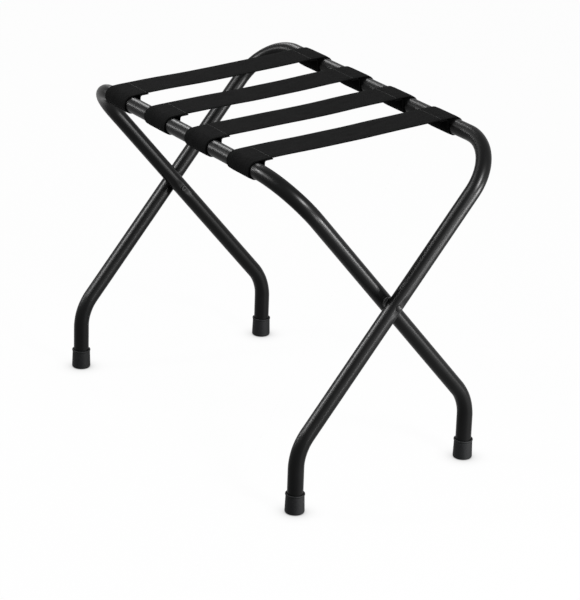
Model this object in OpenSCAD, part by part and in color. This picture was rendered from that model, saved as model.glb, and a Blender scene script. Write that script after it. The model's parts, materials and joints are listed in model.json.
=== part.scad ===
// Folding luggage rack: two U-shaped tube frames crossed and pinned at their legs,
// with webbing straps looped over both top rails.
// X runs across the rack from rail to rail, Y along the rails, Z up.
// The origin is on the floor, below the middle of the outline seen from above.

/* [Frame] */
// Outside diameter of the frame tube
tube_d = 22; // [16:0.5:28]
// Wall thickness of the frame tube
tube_wall = 1.5; // [1:0.1:2]
// Distance across the rack from the pivots to the axis of the outer frame's rail
rail_x = 165; // [140:1:200]
// Height of the outer frame's rail axis above the floor
rail_z = 459; // [430:1:500]
// Distance across the rack from the pivots to the axis of each foot
foot_x = 150; // [120:1:170]
// How much shorter the inner frame's legs are, above the pivots, than the outer frame's
inner_leg_cut = 12; // [0:1:14]
// Tilt of the sloping part of each leg from upright
leg_tilt = 40.408; // [36:0.001:44]
// Distance from the middle of the rack to the legs of the inner frame, along the rails
inner_leg_y = 255; // [250:1:320]
// Centre line radius of the bend from rail to leg
rail_bend_r = 72; // [60:1:80]
// Centre line radius of the bend above each foot
knee_bend_r = 70; // [50:1:90]

/* [Pivots] */
// Clear distance between the outer and the inner frame at the pivots
frame_gap = 5.5; // [5:0.5:8]
// Diameter of the rivet shank
rivet_d = 6; // [5:0.5:8]
// Diameter of the domed rivet head
rivet_head_d = 10.5; // [9:0.5:12]
// Height of the domed rivet head
rivet_head_h = 3; // [2:0.5:4]
// Diameter of the tail that is formed against the inner frame
rivet_tail_d = 8; // [7.5:0.5:10]
// Height of the formed tail
rivet_tail_h = 1; // [0.8:0.1:1.5]
// Depth of the flats pressed into the tubes at the pivots
flat_depth = 0.8; // [0.5:0.1:0.9]
// Width of the flat that shows round a rivet's head, a spacer or a tail
flat_margin = 1; // [0.5:0.1:1.5]
// Diameter of the spacer between the frames
spacer_d = 16; // [12:0.5:18]

/* [Feet] */
// Height of each rubber foot
foot_h = 28; // [22:1:34]
// Thickness of rubber under the tube's end
foot_floor = 5; // [4:0.5:8]
// Outside diameter of a foot at the floor
foot_d = 27.2; // [25:0.2:27.2]
// Outside diameter of a foot at its upper edge
foot_top_d = 25.4; // [25:0.2:26]
// Radius of the lower edge of a foot
foot_edge_r = 2.5; // [1:0.5:3]
// Diameter of the bead round the upper edge of a foot
foot_bead_d = 1.4; // [1:0.1:1.6]
// Thickness of the steel disc that the tube stands on
disc_t = 1.2; // [0.8:0.1:1.6]

/* [Straps] */
// Number of straps
strap_n = 4; // [3:1:4]
// Width of the webbing
strap_w = 53; // [40:1:55]
// Distance from one strap to the next
strap_pitch = 104; // [90:1:104]
// Distance of the row of straps from the middle of the rails, along which they can slide
strap_shift = 3; // [-4:1:4]
// Thickness of the webbing
strap_t = 2; // [1.5:0.1:3]
// Droop of a strap midway between the rails
strap_sag = 0.5; // [0:0.5:4]
// Distance from the rail axis to the row of thread that closes a loop
seam_offset = 23; // [20:1:30]
// Diameter of the thread
thread_d = 0.8; // [0.5:0.1:1]
// Distance from the webbing's edge to the end of a row of thread
thread_margin = 2; // [1:0.5:5]

/* [Clearances] */
// Radial running clearance between a rivet and its holes
pivot_clearance = 0.05; // [0.02:0.01:0.08]
// Side clearance between the inner frame and the spacer or tail beside it
side_clearance = 0.2; // [0.1:0.05:0.4]
// Radial clearance between a foot and its tube
foot_clearance = 0.05; // [0:0.05:0.1]
// Clearance between a strap's loop and the rail
loop_clearance = 0.3; // [0.3:0.1:0.6]
// Width of the cut that parts a strap's halves midway between the rails
strap_cut = 0.02; // [0.01:0.01:0.1]

/* [Hidden] */
$fn = 96;

tube_r = tube_d / 2;
bore_d = tube_d - 2 * tube_wall;
outer_leg_y = inner_leg_y + tube_d + frame_gap;

// The sloping part of the outer frame's leg, from the corner on the rail to the knee
leg_run = rail_x + foot_x;
leg_len = leg_run / sin(leg_tilt);
knee_z = rail_z - leg_run / tan(leg_tilt);
pivot_z = rail_z - rail_x / tan(leg_tilt);

// The inner frame's rail, and the middle of the outline as seen from the pivots
inner_rail_x = rail_x - inner_leg_cut * sin(leg_tilt);
inner_rail_z = rail_z - inner_leg_cut * cos(leg_tilt);
middle_x = (rail_x - inner_rail_x) / 2;

// Half of the distance between the rail axes, and how steeply the straps rise to the outer rail
half_span = norm([rail_x + inner_rail_x, rail_z - inner_rail_z]) / 2;
strap_rise = atan2(rail_z - inner_rail_z, rail_x + inner_rail_x);

// What each bend takes off the straight runs beside it
rail_bend_cut = rail_bend_r;
knee_bend_cut = knee_bend_r * tan(leg_tilt / 2);

// Outer face, flats and ends at a pivot, measured from the middle of the rack along Y
outer_face_y = outer_leg_y + tube_r - flat_depth;
spacer_outer_y = outer_leg_y - tube_r + flat_depth;
spacer_inner_y = inner_leg_y + tube_r - flat_depth + side_clearance;
tail_seat_y = inner_leg_y - tube_r + flat_depth - side_clearance;
hole_d = rivet_d + 2 * pivot_clearance;

// Angle by which a bend's arc is drawn too long before it is cut
bend_spare = 5;
// Distance by which a bore is drawn too long at each end
bore_spare = 1;

disc_z = foot_floor - disc_t;
foot_bore_d = tube_d + 2 * foot_clearance;

// The webbing's loop round a rail, in its own plane with the rail's axis at the origin
loop_in_r = tube_r + loop_clearance;
loop_out_r = loop_in_r + strap_t;
loop_mid_r = loop_in_r + strap_t / 2;
seam_point = [seam_offset, loop_mid_r - strap_t];
seam_reach = norm(seam_point);
leave_angle = atan2(seam_point[1], seam_point[0]) - acos(loop_mid_r / seam_reach);
leave_dir = [-sin(leave_angle), cos(leave_angle)];
flat_len = seam_offset + 2 * strap_t;
loop_steps = 48;
flat_steps = 12;

FRAME_COLOR = [0.09, 0.09, 0.10];
RUBBER_COLOR = [0.06, 0.06, 0.06];
WEBBING_COLOR = [0.12, 0.12, 0.12];
THREAD_COLOR = [0.16, 0.16, 0.16];
STEEL_COLOR = [0.60, 0.60, 0.62];
NYLON_COLOR = [0.20, 0.20, 0.20];

function strap_y(i) = strap_shift + (i - (strap_n - 1) / 2) * strap_pitch;

// How far the webbing has dropped at a distance u from the rail: nothing over the loop,
// then a smooth fall that levels out midway between the rails
function sag_at(u) = u <= flat_len ? 0 : strap_sag * pow(sin(90 * (u - flat_len) / (half_span - flat_len)), 2);

// Where the loop's lower layer, leaving the rail at a point, meets the underside of the flat part
function reach(point) = point + (loop_in_r - point[1]) / leave_dir[1] * leave_dir;

module tube_section() {
    difference() {
        circle(d = tube_d);
        circle(d = bore_d);
    }
}

// A straight length of tube along +Z, then whatever follows at its end
module straight(len) {
    linear_extrude(height = len)
        tube_section();
    translate([0, 0, len])
        children();
}

// Carries what follows to the end of a bend that starts along +Z and turns towards +X
module at_bend_end(radius, angle) {
    translate([radius, 0, 0])
        rotate([0, angle, 0])
            translate([-radius, 0, 0])
                children();
}

// A bend, then whatever follows at its end. The arc is drawn too long and cut square
// where the next length starts, so the two meet exactly.
module bend(radius, angle) {
    difference() {
        translate([radius, 0, 0])
            mirror([1, 0, 0])
                rotate([90, 0, 0])
                    rotate_extrude(angle = angle + bend_spare)
                        translate([radius, 0])
                            tube_section();
        at_bend_end(radius, angle)
            translate([-tube_d, -tube_d, 0])
                cube([2 * tube_d, 2 * tube_d, tube_d]);
    }
    at_bend_end(radius, angle)
        children();
}

// Whole frame with its rail at +X and its feet at -X, bent from one length of tube:
// up from the front foot, back along the rail and down to the back foot
module bent_frame(leg_y, leg_cut) {
    slope_len = leg_len - leg_cut - knee_bend_cut - rail_bend_cut;
    translate([-foot_x, -leg_y, foot_floor])
        straight(knee_z - knee_bend_cut - foot_floor)
            bend(knee_bend_r, leg_tilt)
                straight(slope_len)
                    rotate([0, 0, 90])
                        bend(rail_bend_r, 90)
                            straight(2 * (leg_y - rail_bend_cut))
                                bend(rail_bend_r, 90)
                                    straight(slope_len)
                                        rotate([0, 0, -90])
                                            bend(knee_bend_r, leg_tilt)
                                                straight(knee_z - knee_bend_cut - foot_floor);
}

// A rod along Y between two distances from the middle, at the front or back pivot
module pivot_rod(d, from_y, to_y, side) {
    translate([0, 0, pivot_z])
        mirror([0, side == "front" ? 1 : 0, 0])
            translate([0, from_y, 0])
                rotate([-90, 0, 0])
                    cylinder(h = to_y - from_y, d = d);
}

// Rivet holes through both walls of a frame's legs, and the flats pressed round them
module pivot_cuts(leg_y, outer_flat_d, inner_flat_d) {
    for (side = ["front", "back"]) {
        pivot_rod(hole_d, leg_y - tube_d, leg_y + tube_d, side);
        pivot_rod(outer_flat_d, leg_y + tube_r - flat_depth, leg_y + tube_d, side);
        pivot_rod(inner_flat_d, leg_y - tube_d, leg_y - tube_r + flat_depth, side);
    }
}

module outer_frame_tube() {
    color(FRAME_COLOR)
        difference() {
            bent_frame(outer_leg_y, 0);
            pivot_cuts(outer_leg_y, rivet_head_d + 2 * flat_margin, spacer_d + 2 * flat_margin);
        }
}

module inner_frame_tube() {
    color(FRAME_COLOR)
        difference() {
            mirror([1, 0, 0])
                bent_frame(inner_leg_y, inner_leg_cut);
            pivot_cuts(inner_leg_y, spacer_d + 2 * flat_margin, rivet_tail_d + 2 * flat_margin);
        }
}

// A domed head, a shank through both tubes and a low tail against the inner one
module pivot_rivet(side) {
    dome_r = (rivet_head_d * rivet_head_d / 4 + rivet_head_h * rivet_head_h) / (2 * rivet_head_h);
    color(FRAME_COLOR) {
        pivot_rod(rivet_d, tail_seat_y - rivet_tail_h / 2, outer_face_y + rivet_head_h / 2, side);
        pivot_rod(rivet_tail_d, tail_seat_y - rivet_tail_h, tail_seat_y, side);
        translate([0, 0, pivot_z])
            mirror([0, side == "front" ? 1 : 0, 0])
                translate([0, outer_face_y, 0])
                    rotate([-90, 0, 0])
                        intersection() {
                            translate([0, 0, rivet_head_h - dome_r])
                                sphere(r = dome_r);
                            cylinder(h = rivet_head_h, d = rivet_head_d);
                        }
    }
}

module pivot_spacer(side) {
    color(NYLON_COLOR)
        difference() {
            pivot_rod(spacer_d, spacer_inner_y, spacer_outer_y, side);
            pivot_rod(hole_d, spacer_inner_y - bore_spare, spacer_outer_y + bore_spare, side);
        }
}

// A tapered rubber cap with a rounded lower edge, a bead at its mouth, the tube's
// socket and a pocket for the disc
module rubber_foot() {
    bead_r = foot_bead_d / 2;
    color(RUBBER_COLOR)
        difference() {
            rotate_extrude()
                union() {
                    polygon([
                        [0, 0],
                        [foot_d / 2 - foot_edge_r, 0],
                        [foot_d / 2, foot_edge_r],
                        [foot_top_d / 2, foot_h - bead_r],
                        [foot_top_d / 2, foot_h],
                        [0, foot_h]]);
                    translate([foot_d / 2 - foot_edge_r, foot_edge_r])
                        circle(r = foot_edge_r);
                    translate([foot_top_d / 2, foot_h - bead_r])
                        circle(r = bead_r);
                }
            translate([0, 0, disc_z])
                cylinder(h = foot_h, d = foot_bore_d);
        }
}

module foot_disc() {
    color(STEEL_COLOR)
        translate([0, 0, disc_z])
            cylinder(h = disc_t, d = tube_d);
}

// Places a foot's piece under a leg: the outer frame's feet are at -X
module at_foot(frame, side) {
    leg_y = frame == "outer" ? outer_leg_y : inner_leg_y;
    translate([frame == "outer" ? -foot_x : foot_x, side == "front" ? -leg_y : leg_y, 0])
        children();
}

// Points clockwise round the rail, from where the lower layer leaves it to its top
function loop_arc(r) = [for (i = [0 : loop_steps])
    let (a = leave_angle - (leave_angle + 270) * i / loop_steps) r * [cos(a), sin(a)]];

// A point turned about the rail's axis by an angle
function turned(point, angle) = [
    point[0] * cos(angle) - point[1] * sin(angle),
    point[0] * sin(angle) + point[1] * cos(angle)];

// Outline of half a strap, seen along the rail: the flat part and the loop that turns
// back under it to the seam. The rail's axis is at the origin, and the strap runs to +X
// and rises by an angle.
module strap_outline(rise) {
    span = half_span - strap_cut / 2 - flat_len;
    stations = [for (i = [0 : flat_steps]) flat_len + span * i / flat_steps];
    top = [for (u = stations) [u, loop_out_r - sag_at(u)]];
    bottom = [for (i = [flat_steps : -1 : 0]) [stations[i], loop_in_r - sag_at(stations[i])]];
    outside = loop_arc(loop_out_r);
    inside = loop_arc(loop_in_r);
    outer_edge = concat(outside, top, bottom, [reach(outside[0])]);
    inner_edge = concat(inside, [reach(inside[0])]);
    difference() {
        polygon([for (p = outer_edge) turned(p, rise)]);
        polygon([for (p = inner_edge) turned(p, rise)]);
    }
}

// Places a piece that is drawn from a rail's axis towards +X on the rail of its frame
module at_rail(frame) {
    if (frame == "outer")
        translate([rail_x, 0, rail_z])
            mirror([1, 0, 0])
                children();
    else
        translate([-inner_rail_x, 0, inner_rail_z])
            children();
}

// The straps fall from the outer frame's rail and rise from the inner frame's
function rise_from(frame) = frame == "outer" ? -strap_rise : strap_rise;

// Half of strap i, on a frame's rail
module strap_half(frame, i) {
    color(WEBBING_COLOR)
        at_rail(frame)
            translate([0, strap_y(i) + strap_w / 2, 0])
                rotate([90, 0, 0])
                    linear_extrude(height = strap_w)
                        strap_outline(rise_from(frame));
}

// The row of thread that closes each loop on a frame's rail
module seam_threads(frame) {
    color(THREAD_COLOR)
        at_rail(frame)
            for (i = [0 : strap_n - 1]) {
                seat = turned([seam_offset, loop_out_r + thread_d / 2], rise_from(frame));
                translate([seat[0], strap_y(i), seat[1]])
                    rotate([90, 0, 0])
                        cylinder(h = strap_w - 2 * thread_margin, d = thread_d, center = true, $fn = 24);
            }
}

// Brings the middle of the outline over the origin
module centred() {
    translate([-middle_x, 0, 0])
        children();
}

centred() outer_frame_tube();
centred() inner_frame_tube();
centred() pivot_rivet("front");  // front_pivot_rivet
centred() pivot_rivet("back");  // back_pivot_rivet
centred() pivot_spacer("front");  // front_pivot_spacer
centred() pivot_spacer("back");  // back_pivot_spacer
centred() at_foot("outer", "front") rubber_foot();  // outer_front_foot
centred() at_foot("outer", "back") rubber_foot();  // outer_back_foot
centred() at_foot("inner", "front") rubber_foot();  // inner_front_foot
centred() at_foot("inner", "back") rubber_foot();  // inner_back_foot
centred() at_foot("outer", "front") foot_disc();  // outer_front_foot_disc
centred() at_foot("outer", "back") foot_disc();  // outer_back_foot_disc
centred() at_foot("inner", "front") foot_disc();  // inner_front_foot_disc
centred() at_foot("inner", "back") foot_disc();  // inner_back_foot_disc
centred() strap_half("outer", 0);  // strap_1_outer_half
centred() strap_half("outer", 1);  // strap_2_outer_half
centred() strap_half("outer", 2);  // strap_3_outer_half
centred() strap_half("outer", 3);  // strap_4_outer_half
centred() strap_half("inner", 0);  // strap_1_inner_half
centred() strap_half("inner", 1);  // strap_2_inner_half
centred() strap_half("inner", 2);  // strap_3_inner_half
centred() strap_half("inner", 3);  // strap_4_inner_half
centred() seam_threads("outer");  // outer_seam_thread
centred() seam_threads("inner");  // inner_seam_thread
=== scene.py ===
"""Folding luggage rack: two crossed frames of bent tube, pinned at their legs, and four webbing straps.

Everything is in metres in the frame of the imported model: X across the rack from rail to rail, Y along
the rails with the front at -Y, Z up, and the origin on the floor below the middle of the outline. Places
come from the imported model, and each shape is a surface worked out from the sizes of its own class.
"""

import json
import logging
import math
from collections.abc import Callable
from dataclasses import dataclass, field
from enum import Enum

import bpy
import numpy as np
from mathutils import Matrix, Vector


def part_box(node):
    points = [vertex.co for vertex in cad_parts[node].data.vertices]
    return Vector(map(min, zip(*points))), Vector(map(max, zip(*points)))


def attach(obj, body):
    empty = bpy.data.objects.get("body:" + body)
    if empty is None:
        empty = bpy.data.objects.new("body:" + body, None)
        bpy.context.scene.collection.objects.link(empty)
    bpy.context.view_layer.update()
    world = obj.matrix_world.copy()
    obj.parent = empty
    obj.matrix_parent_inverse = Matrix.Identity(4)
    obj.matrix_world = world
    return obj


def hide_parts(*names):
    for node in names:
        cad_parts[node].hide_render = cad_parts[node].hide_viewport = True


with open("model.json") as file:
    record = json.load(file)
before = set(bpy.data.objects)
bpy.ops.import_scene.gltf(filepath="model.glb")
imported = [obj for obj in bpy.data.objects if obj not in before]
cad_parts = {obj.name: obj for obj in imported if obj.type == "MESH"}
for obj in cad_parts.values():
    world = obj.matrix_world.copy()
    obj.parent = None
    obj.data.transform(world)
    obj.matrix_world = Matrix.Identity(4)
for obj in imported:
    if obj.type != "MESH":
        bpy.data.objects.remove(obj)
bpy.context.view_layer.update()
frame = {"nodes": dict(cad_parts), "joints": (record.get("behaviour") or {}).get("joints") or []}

Array = np.ndarray
MM = 0.001
TURN = 2 * math.pi
SHARP_ANGLE = math.radians(38)
BEND_FADE = 0.25
log = logging.getLogger("luggage_rack")


class Side(Enum):
    """The end of the rack that a piece is at, by the sign of its Y."""

    FRONT = -1
    BACK = 1


class Member(Enum):
    """The frame that a piece belongs to, by the sign of the X of that frame's rail."""

    OUTER = 1
    INNER = -1

    @property
    def word(self) -> str:
        """The frame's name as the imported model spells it."""
        return self.name.lower()


@dataclass(frozen=True)
class Measures:
    """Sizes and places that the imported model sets."""

    pivot_x: float
    pivot_z: float
    tube_r: float
    foot_x: float
    foot_z: float
    leg_y: dict[Member, float]
    rail: dict[Member, tuple[float, float]]

    @classmethod
    def of_frame(cls) -> "Measures":
        """Reads the joints' places and the boxes of the discs that the tubes stand on.

        The places of rails and feet across the rack are distances from the plane of the pivots.

        Returns:
            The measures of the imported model.
        """
        joints = {joint["name"]: joint["pos_m"] for joint in frame["joints"]}
        discs = {member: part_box(f"{member.word}_back_foot_disc") for member in Member}
        low, high = discs[Member.INNER]
        pivot_x = joints["fold"][0]
        hangs = {member: joints[f"{member.word}_strap_hang"] for member in Member}
        return cls(
            pivot_x=pivot_x,
            pivot_z=joints["fold"][2],
            tube_r=(high[0] - low[0]) / 2,
            foot_x=(high[0] + low[0]) / 2 - pivot_x,
            foot_z=high[2],
            leg_y={member: (box[0][1] + box[1][1]) / 2 for member, box in discs.items()},
            rail={member: ((hang[0] - pivot_x) * member.value, hang[2]) for member, hang in hangs.items()},
        )

    @property
    def half_span(self) -> float:
        """Half of the distance between the rails' axes."""
        (outer_x, outer_z), (inner_x, inner_z) = self.rail[Member.OUTER], self.rail[Member.INNER]
        return math.hypot(outer_x + inner_x, outer_z - inner_z) / 2

    def laid(self, points: Array, member: Member) -> Array:
        """Lays points that are drawn at a rail in their place.

        Args:
            points: Rows of (u, y, v): u from the rail's axis towards the other rail, y along the rail,
                and v at right angles to both, upwards.
            member: The frame whose rail it is.

        Returns:
            The points in the rack's frame.
        """
        (here_x, here_z), (there_x, there_z) = self.rail[member], self.rail[Member(-member.value)]
        along = unit([-member.value * (here_x + there_x), 0, there_z - here_z])
        up = np.array([-along[2], 0, along[0]]) * np.sign(along[0])
        rail = np.array([self.pivot_x + member.value * here_x, 0, here_z])
        return rail + points[..., :1] * along + points[..., 1:2] * [0, 1, 0] + points[..., 2:] * up


def unit(vector: Array) -> Array:
    """The vector at length one."""
    return np.asarray(vector, float) / np.linalg.norm(vector)


def turned_about(vectors: Array, axis: Array, angles: Array) -> Array:
    """Turns vectors about an axis, once for each angle, by Rodrigues' formula.

    The part along the axis stays, and the rest turns in its plane: v cos a + (axis x v) sin a
    + axis (axis . v) (1 - cos a).

    Args:
        vectors: One vector, or an array whose last axis holds vectors.
        axis: Unit vector to turn about.
        angles: Angles in radians, one for each turned copy.

    Returns:
        The copies, stacked along a new first axis.
    """
    spread = (-1,) + (1,) * np.ndim(vectors)
    cos, sin = np.cos(angles).reshape(spread), np.sin(angles).reshape(spread)
    along = (vectors @ axis)[..., None] * axis
    return vectors * cos + np.cross(axis, vectors) * sin + along * (1 - cos)


def smooth_step(x: Array) -> Array:
    """Nothing below 0, one above 1, and 3x^2 - 2x^3 in between."""
    x = np.clip(x, 0, 1)
    return x * x * (3 - 2 * x)


def smooth_least(a: Array, b: Array, blend: float) -> Array:
    """The lesser of a and b, with the corner between them rounded over the blend distance.

    Where a and b differ by less than the blend, the result falls below both by a parabola that is
    deepest, a quarter of the blend, where they are equal.

    Args:
        a: First values.
        b: Second values.
        blend: Difference over which the corner is rounded.

    Returns:
        The rounded minimum.
    """
    share = np.clip((blend - np.abs(a - b)) / blend, 0, 1)
    return np.minimum(a, b) - share * share * blend / 4


def rounded(corners: list[tuple[float, float, float]], steps: int = 6) -> Array:
    """A flat outline through corners, each rounded by an arc that touches both of its sides.

    An arc of radius r in a corner that turns by t starts r tan(t / 2) before the corner, and its
    centre lies r / cos(t / 2) from the corner along the bisector.

    Args:
        corners: Points as (x, y, radius). A radius of 0 keeps the corner sharp.
        steps: Number of points less one on each arc.

    Returns:
        The outline's points, (n, 2), from the first corner to the last, which stay sharp.
    """
    points = [np.array([corners[0][:2]])]
    for before, corner, after in zip(corners, corners[1:], corners[2:]):
        here, radius = np.array(corner[:2]), corner[2]
        back, ahead = unit(np.subtract(before[:2], here)), unit(np.subtract(after[:2], here))
        turn = math.pi - math.acos(np.clip(back @ ahead, -1, 1))
        if radius == 0 or turn < 1e-6:
            points.append(here[None])
            continue
        centre = here + unit(back + ahead) * radius / math.cos(turn / 2)
        start = here + back * radius * math.tan(turn / 2) - centre
        way = np.sign(back[0] * ahead[1] - back[1] * ahead[0])
        angles = -way * np.linspace(0, turn, steps + 1)
        cos, sin = np.cos(angles), np.sin(angles)
        arc = np.stack([start[0] * cos - start[1] * sin, start[0] * sin + start[1] * cos], axis=-1)
        points.append(centre + arc)
    points.append(np.array([corners[-1][:2]]))
    return np.concatenate(points)


class Route:
    """A path of straight lengths and round bends that carries a frame of heading, side and top.

    A bend turns the whole frame about the bend's own axis, so the frame never twists about the path.
    """

    def __init__(self, start: Array, heading: Array, side: Array) -> None:
        """Starts a path at a point, with a heading and a side at right angles to it."""
        heading, side = unit(heading), unit(side)
        self.place = np.array(start, float)
        self.turtle = np.array([heading, side, np.cross(heading, side)])
        self._places = [self.place[None]]
        self._frames = [self.turtle[None]]
        self._pulls = [np.zeros((1, 3))]

    def straight(self, length: float, step: float) -> "Route":
        """Goes straight on.

        Args:
            length: Distance to go.
            step: Distance between stations, about.

        Returns:
            The route itself.
        """
        count = max(1, round(length / step))
        gone = np.linspace(0, length, count + 1)[1:, None]
        return self._extend(self.place + gone * self.turtle[0], np.repeat(self.turtle[None], count, 0),
                            np.zeros((count, 3)))

    def bend(self, radius: float, angle: float, toward: Array, step: float) -> "Route":
        """Goes round an arc. The pull towards its centre rises and falls over a share of it at each end.

        Args:
            radius: Radius of the arc.
            angle: Angle that the heading turns by, in radians.
            toward: Direction from the path to the arc's centre.
            step: Angle between stations, about, in radians.

        Returns:
            The route itself.
        """
        toward = unit(toward)
        axis = np.cross(self.turtle[0], toward)
        share = np.linspace(0, 1, max(2, round(angle / step)) + 1)[1:]
        centre = self.place + radius * toward
        strength = np.sqrt(smooth_step(np.minimum(share, 1 - share) / BEND_FADE))
        return self._extend(centre + turned_about(self.place - centre, axis, share * angle),
                            turned_about(self.turtle, axis, share * angle),
                            turned_about(toward, axis, share * angle) * strength[:, None])

    def bend_to(self, heading: Array, radius: float, step: float) -> "Route":
        """Goes round an arc until the path runs along a new heading, which is less than half a turn away.

        Args:
            heading: The new heading.
            radius: Radius of the arc.
            step: Angle between stations, about, in radians.

        Returns:
            The route itself.
        """
        heading = unit(heading)
        angle = math.acos(np.clip(self.turtle[0] @ heading, -1, 1))
        return self.bend(radius, angle, heading - (heading @ self.turtle[0]) * self.turtle[0], step)

    def _extend(self, places: Array, frames: Array, pulls: Array) -> "Route":
        """Adds stations and moves to the last of them."""
        self._places.append(places)
        self._frames.append(frames)
        self._pulls.append(pulls)
        self.place, self.turtle = places[-1], frames[-1]
        return self

    @property
    def places(self) -> Array:
        """The stations, (n, 3)."""
        return np.concatenate(self._places)

    @property
    def frames(self) -> Array:
        """Heading, side and top at each station, (n, 3, 3)."""
        return np.concatenate(self._frames)

    @property
    def pulls(self) -> Array:
        """Direction of the bend's centre at each station, fading to nothing at the bend's ends, (n, 3)."""
        return np.concatenate(self._pulls)

    @property
    def run(self) -> Array:
        """Distance along the path at each station, (n,)."""
        steps = np.linalg.norm(np.diff(self.places, axis=0), axis=1)
        return np.concatenate([[0], np.cumsum(steps)])

    def offsets(self, outline: Array) -> Array:
        """Carries an outline along: each of its points (x, y) becomes side x + top y at each station.

        Args:
            outline: Points (m, 2), or (n, m, 2) for one outline at each station.

        Returns:
            Offsets from the stations, (n, m, 3).
        """
        frames = self.frames
        return outline[..., 0, None] * frames[:, None, 1] + outline[..., 1, None] * frames[:, None, 2]


@dataclass
class Skin:
    """A closed surface before it becomes a mesh."""

    points: Array
    faces: list[Array]
    marks: dict[str, Array] = field(default_factory=dict)

    def outward(self) -> "Skin":
        """Turns every face over if the faces enclose a volume below nothing.

        The volume is the sum over triangles of a . (b x c) / 6.

        Returns:
            The skin itself, with its faces pointing outwards.
        """
        volume = 0.0
        for faces in self.faces:
            for last in range(2, faces.shape[1]):
                a, b, c = (self.points[faces[:, k]] for k in (0, last - 1, last))
                volume += np.einsum("ij,ij->", a, np.cross(b, c)) / 6
        if volume < 0:
            self.faces = [faces[:, ::-1] for faces in self.faces]
        return self


def grid_faces(rows: int, columns: int, wrap_rows: bool = False) -> Array:
    """Quads between the neighbours on a grid of points whose columns close into rings.

    Args:
        rows: Number of rings.
        columns: Number of points on each ring.
        wrap_rows: True if the last ring joins the first.

    Returns:
        Corner indices, (faces, 4).
    """
    i, j = np.meshgrid(np.arange(rows if wrap_rows else rows - 1), np.arange(columns), indexing="ij")
    beside, below = (j + 1) % columns, (i + 1) % rows
    corners = (i * columns + j, i * columns + beside, below * columns + beside, below * columns + j)
    return np.stack(corners, axis=-1).reshape(-1, 4)


def capped(rings: Array, marks: dict[str, Array] | None = None, poles: Array | None = None) -> Skin:
    """Closes a stack of rings with a fan of triangles at each end.

    Args:
        rings: Points, (rings, points on each, 3).
        marks: Values for each point, (rings, points on each, 3), by name.
        poles: The two points that the fans meet in, or None for the middles of the end rings.

    Returns:
        The closed skin.
    """
    rows, columns = rings.shape[:2]
    if poles is None:
        poles = rings[[0, -1]].mean(axis=1)
    first, last = np.arange(columns), np.arange(columns) + (rows - 1) * columns
    near, far = np.full(columns, rows * columns), np.full(columns, rows * columns + 1)
    fans = np.concatenate([np.stack([np.roll(first, -1), first, near], axis=-1),
                           np.stack([last, np.roll(last, -1), far], axis=-1)])
    points = np.concatenate([rings.reshape(-1, 3), poles])
    values = {name: np.concatenate([value.reshape(-1, 3), value[[0, -1]].mean(axis=1)])
              for name, value in (marks or {}).items()}
    return Skin(points, [grid_faces(rows, columns), fans], values).outward()


def turned(profile: Array, centre: Array, axis: Array, steps: int = 64) -> Skin:
    """Turns a profile about an axis: a point (r, h) goes to centre + h axis + r (a cos t + b sin t).

    Args:
        profile: Points (distance from the axis, height along it), (n, 2). They start and end on the
            axis for a solid. For a ring they go round a closed outline clear of it, none repeated.
        centre: Point on the axis at height 0.
        axis: Direction of the axis.
        steps: Number of points round.

    Returns:
        The closed skin, marked "turned" with its points seen from the centre with the axis as Z.
    """
    axis, centre = unit(axis), np.asarray(centre, float)
    solid = profile[0, 0] == 0
    outline = profile[1:-1] if solid else profile
    radii, heights = outline[:, None, :1], outline[:, None, 1:]
    across = unit(np.cross(axis, [0, 1, 0] if abs(axis[1]) < 0.5 else [1, 0, 0]))
    angles = TURN * np.arange(steps) / steps
    rings = turned_about(across, axis, angles)[None] * radii + heights * axis + centre
    flat = np.stack([np.cos(angles), np.sin(angles), np.zeros(steps)], axis=-1)
    local = flat[None] * radii + heights * np.array([0, 0, 1])
    if solid:
        return capped(rings, {"turned": local}, centre + profile[[0, -1], 1][:, None] * axis)
    faces = grid_faces(len(outline), steps, wrap_rows=True)
    return Skin(rings.reshape(-1, 3), [faces], {"turned": local.reshape(-1, 3)}).outward()


def math_method(operation: str, swapped: bool = False) -> Callable[..., "Signal"]:
    """A method of Signal that adds a Math node.

    Args:
        operation: The node's operation.
        swapped: True if the signal is the operation's second value.

    Returns:
        The method. It takes the other value, where the operation has one, and returns the result.
    """
    def method(signal: "Signal", *others: "Signal | float") -> "Signal":
        """The operation's result."""
        values = (*others, signal) if swapped else (signal, *others)
        return signal.recipe.node("ShaderNodeMath", {"operation": operation}, dict(enumerate(values))).out(0)

    return method


class Signal:
    """A shader socket that takes part in Python expressions: each operator adds its Math node."""

    def __init__(self, recipe: "Recipe", socket: bpy.types.NodeSocket) -> None:
        """Wraps an output socket of a recipe's node tree."""
        self.recipe = recipe
        self.socket = socket

    __add__ = math_method("ADD")
    __radd__ = math_method("ADD", swapped=True)
    __sub__ = math_method("SUBTRACT")
    __rsub__ = math_method("SUBTRACT", swapped=True)
    __mul__ = math_method("MULTIPLY")
    __pow__ = math_method("POWER")
    __abs__ = math_method("ABSOLUTE")
    sine = math_method("SINE")
    larger = math_method("MAXIMUM")
    angle_to = math_method("ARCTAN2")

    def ramp(self, start: float, end: float, low: float = 0.0, high: float = 1.0) -> "Signal":
        """Goes smoothly from low at start to high at end, and is level beyond them.

        Args:
            start: Value of self at which the rise starts.
            end: Value of self at which it ends.
            low: Result before start.
            high: Result after end.

        Returns:
            The ramped signal.
        """
        inputs = {"Value": self, "From Min": start, "From Max": end, "To Min": low, "To Max": high}
        return self.recipe.node("ShaderNodeMapRange", {"interpolation_type": "SMOOTHSTEP"},
                                inputs).out("Result")


class Made:
    """A node that has been added, whose outputs are taken by name or number."""

    def __init__(self, recipe: "Recipe", node: bpy.types.Node) -> None:
        """Wraps a node of a recipe's tree."""
        self.recipe = recipe
        self.node = node

    def out(self, key: str | int) -> Signal:
        """The output with that name or number."""
        return Signal(self.recipe, self.node.outputs[key])


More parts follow.
